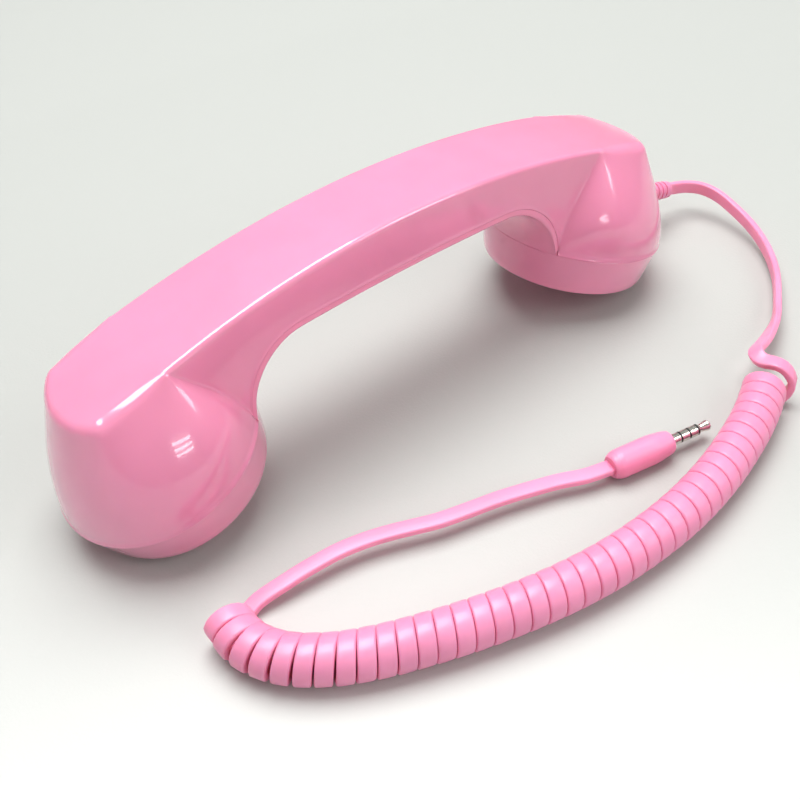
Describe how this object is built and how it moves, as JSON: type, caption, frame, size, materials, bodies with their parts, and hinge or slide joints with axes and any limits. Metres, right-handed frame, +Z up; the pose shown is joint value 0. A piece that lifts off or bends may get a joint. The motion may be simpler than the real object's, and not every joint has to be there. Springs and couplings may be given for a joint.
{
  "type": "telephone handset",
  "caption": "Pink retro telephone handset with a call button, a curly cord and a four-pole audio plug, lying face down.",
  "frame": {"origin": "on the floor under the middle of the handset, which lies with the rims of both cups on the floor", "axes": "+X along the handset from the ear cup to the mouth cup and the cord's exit, +Y across it away from the plug, +Z up through the handle's back"},
  "size_m": [0.2659, 0.1459, 0.069],
  "materials": {
    "pink_shell": "gloss",
    "pink_button": "gloss",
    "pink_cord": "satin",
    "dark_cloth": "matte",
    "dark_rubber": "matte",
    "diaphragm_film": "satin",
    "plated_steel": "satin",
    "magnet": "satin",
    "board_laminate": "satin",
    "capsule_aluminium": "satin",
    "ballast_steel": "satin",
    "dark_plastic": "satin",
    "wire_red": "satin",
    "wire_yellow": "satin",
    "wire_white": "satin",
    "clamp_plastic": "satin",
    "plug_nickel": "polished"
  },
  "bodies": {
    "handset": {"outer_shell": "pink_shell", "screw_posts": "pink_shell", "inner_shell": "pink_shell", "ear_cap": "pink_shell", "mouth_cap": "pink_shell", "ear_dust_cloth": "dark_cloth", "mouth_dust_cloth": "dark_cloth", "speaker_gasket": "dark_rubber", "speaker_diaphragm": "diaphragm_film", "speaker_frame": "plated_steel", "speaker_magnet": "magnet", "speaker_terminal_board": "board_laminate", "microphone_capsule": "capsule_aluminium", "microphone_boot": "dark_rubber", "ear_ballast": "ballast_steel", "mouth_ballast": "ballast_steel", "ballast_screws": "plated_steel", "shell_screws": "plated_steel", "circuit_board": "board_laminate", "board_components": "dark_plastic", "board_screws": "plated_steel", "tact_switch": "dark_plastic", "speaker_wires": "wire_red", "microphone_wires": "wire_yellow", "cord_wires": "wire_white", "cord_inner_end": "pink_cord", "cord_clamp": "clamp_plastic", "clamp_screws": "plated_steel", "cord_strain_relief": "pink_cord", "cord_lead": "pink_cord", "cord_coil": "pink_cord", "cord_tail": "pink_cord", "plug_grip": "pink_cord", "plug_sleeve": "plug_nickel", "plug_microphone_ring": "plug_nickel", "plug_ground_ring": "plug_nickel", "plug_tip": "plug_nickel", "plug_insulators": "dark_plastic"},
    "call_button": {"call_button": "pink_button", "switch_plunger": "dark_plastic"}
  },
  "joints": [
    {"name": "call_button_press", "type": "slide", "parent": "handset", "child": "call_button", "axis": [0, 0, 1], "range_m": [0, 0.0006], "stiffness_N_per_m": 3000}
  ]
}
